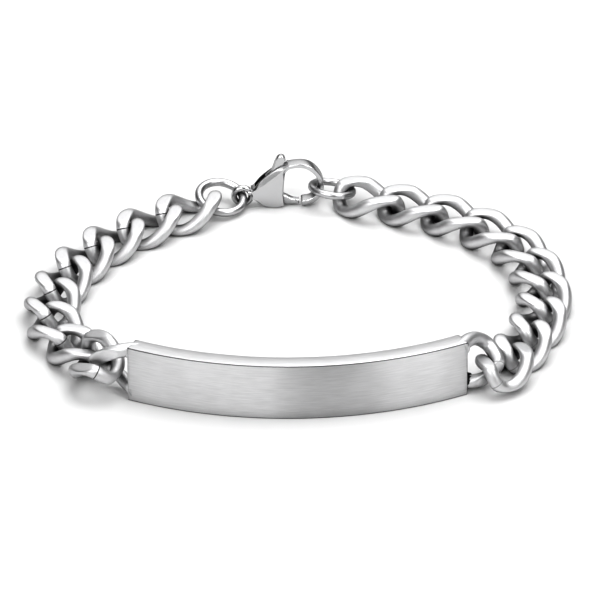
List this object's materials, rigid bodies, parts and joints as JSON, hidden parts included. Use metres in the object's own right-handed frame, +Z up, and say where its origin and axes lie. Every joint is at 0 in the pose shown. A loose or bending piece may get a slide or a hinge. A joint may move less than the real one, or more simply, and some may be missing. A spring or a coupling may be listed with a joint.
{
  "type": "id bracelet",
  "caption": "Identity bracelet: curved blank plate, filed curb chain and lobster clasp with two rings, lying closed on its side.",
  "frame": {"origin": "middle of the plate's lower long edge, on the surface the bracelet lies on", "axes": "+X along the plate, +Y from the plate back towards the clasp, +Z up"},
  "size_m": [0.0741, 0.0613, 0.0081],
  "materials": {
    "satin_steel": "brushed",
    "polished_steel": "mirror polished"
  },
  "bodies": {
    "bracelet": {"id_plate": "satin_steel", "link_left_01": "satin_steel", "link_left_02": "satin_steel", "link_left_03": "satin_steel", "link_left_04": "satin_steel", "link_left_05": "satin_steel", "link_left_06": "satin_steel", "link_left_07": "satin_steel", "link_left_08": "satin_steel", "link_left_09": "satin_steel", "link_right_01": "satin_steel", "link_right_02": "satin_steel", "link_right_03": "satin_steel", "link_right_04": "satin_steel", "link_right_05": "satin_steel", "link_right_06": "satin_steel", "link_right_07": "satin_steel", "link_right_08": "satin_steel", "link_right_09": "satin_steel", "link_right_10": "satin_steel", "jump_ring": "polished_steel", "end_ring": "polished_steel", "clasp_body": "polished_steel", "clasp_pin": "polished_steel"},
    "lever": {"clasp_lever": "polished_steel"}
  },
  "joints": [
    {"name": "clasp_lever", "type": "hinge", "parent": "bracelet", "child": "lever", "pos_m": [-0.00127, 0.05665, 0.00135], "axis": [0.012, -0.9999, 0], "range_deg": [0, 25], "stiffness_Nm_per_rad": 0.001, "springref_deg": -17.19}
  ]
}
